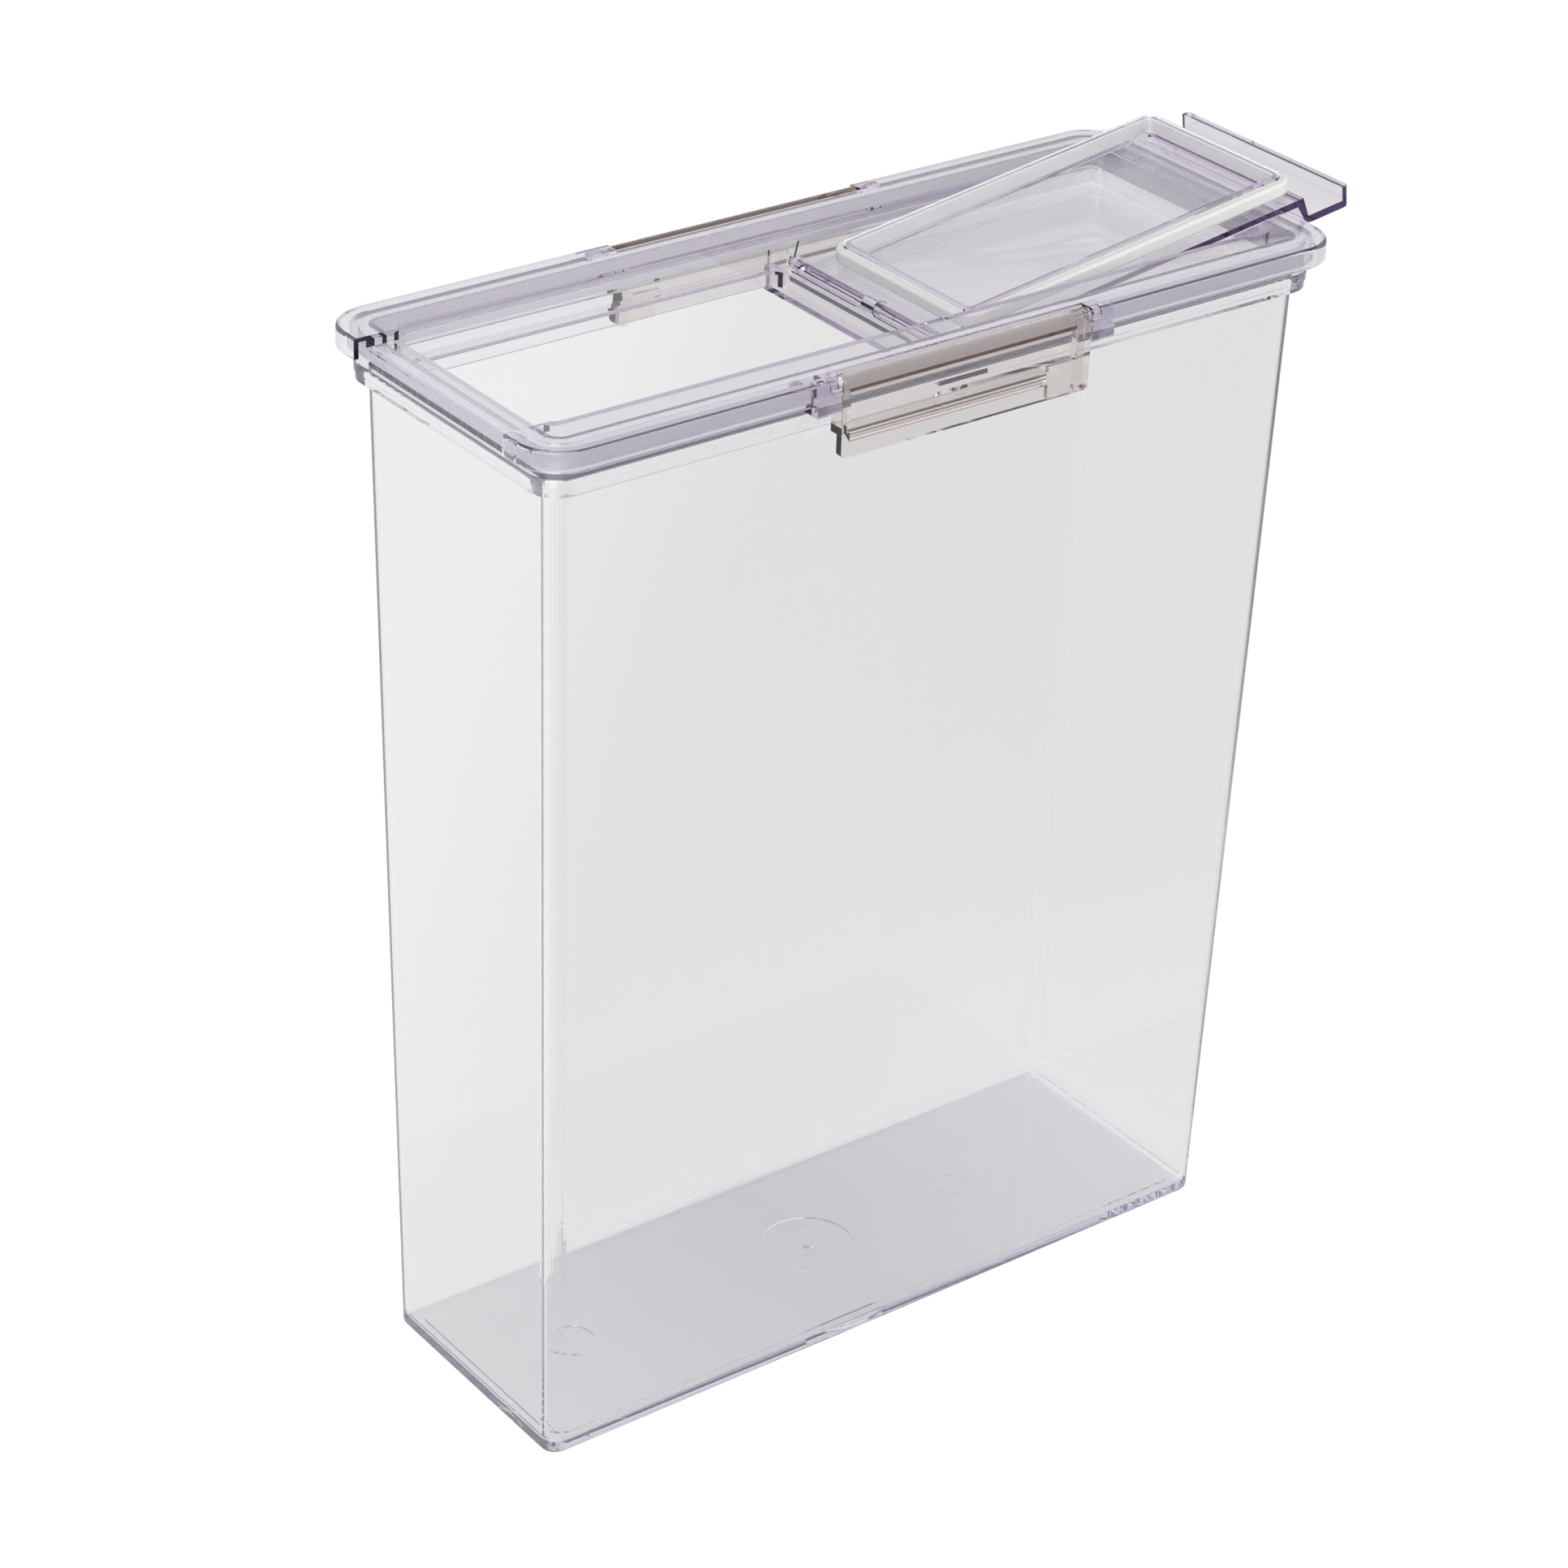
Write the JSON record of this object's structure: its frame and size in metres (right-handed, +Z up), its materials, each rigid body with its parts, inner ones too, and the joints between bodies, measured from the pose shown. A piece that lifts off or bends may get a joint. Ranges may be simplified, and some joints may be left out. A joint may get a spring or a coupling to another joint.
{
  "type": "cereal container with flip spout",
  "caption": "Tall tapered clear food container with a latched lid, a seal, and a pour door that flips back over a sunk well.",
  "frame": {"origin": "middle of the bin's flat foot, on the table", "axes": "+Z up; +X towards the hinge end of the lid, -X the pour end; Y across the narrow width, -Y the front latch's side"},
  "size_m": [0.2523, 0.0942, 0.2922],
  "materials": {
    "clear_body": "clear polished plastic",
    "clear_lid": "clear polished plastic with a faint violet tint",
    "clear_silicone": "translucent soft silicone",
    "white_silicone": "soft white silicone",
    "smoky_latch": "clear polished plastic with a warm smoky tint"
  },
  "bodies": {
    "bin": {"bin": "clear_body"},
    "lid": {"lid": "clear_lid", "lid_seal": "clear_silicone"},
    "door": {"flip_door": "clear_lid", "door_gasket": "white_silicone"},
    "front_latch": {"front_latch": "smoky_latch"},
    "back_latch": {"back_latch": "smoky_latch"}
  },
  "joints": [
    {"name": "lid_lift", "type": "slide", "parent": "bin", "child": "lid", "axis": [0, 0, 1], "range_m": [0, 0.06]},
    {"name": "door_hinge", "type": "hinge", "parent": "lid", "child": "door", "pos_m": [0.0078, 0, 0.2731], "axis": [0, -1, 0], "range_deg": [0, 172]},
    {"name": "front_latch_hinge", "type": "hinge", "parent": "lid", "child": "front_latch", "pos_m": [0, -0.0449, 0.2799], "axis": [-1, 0, 0], "range_deg": [0, 100]},
    {"name": "back_latch_hinge", "type": "hinge", "parent": "lid", "child": "back_latch", "pos_m": [0, 0.0449, 0.2799], "axis": [1, 0, 0], "range_deg": [0, 100]}
  ]
}
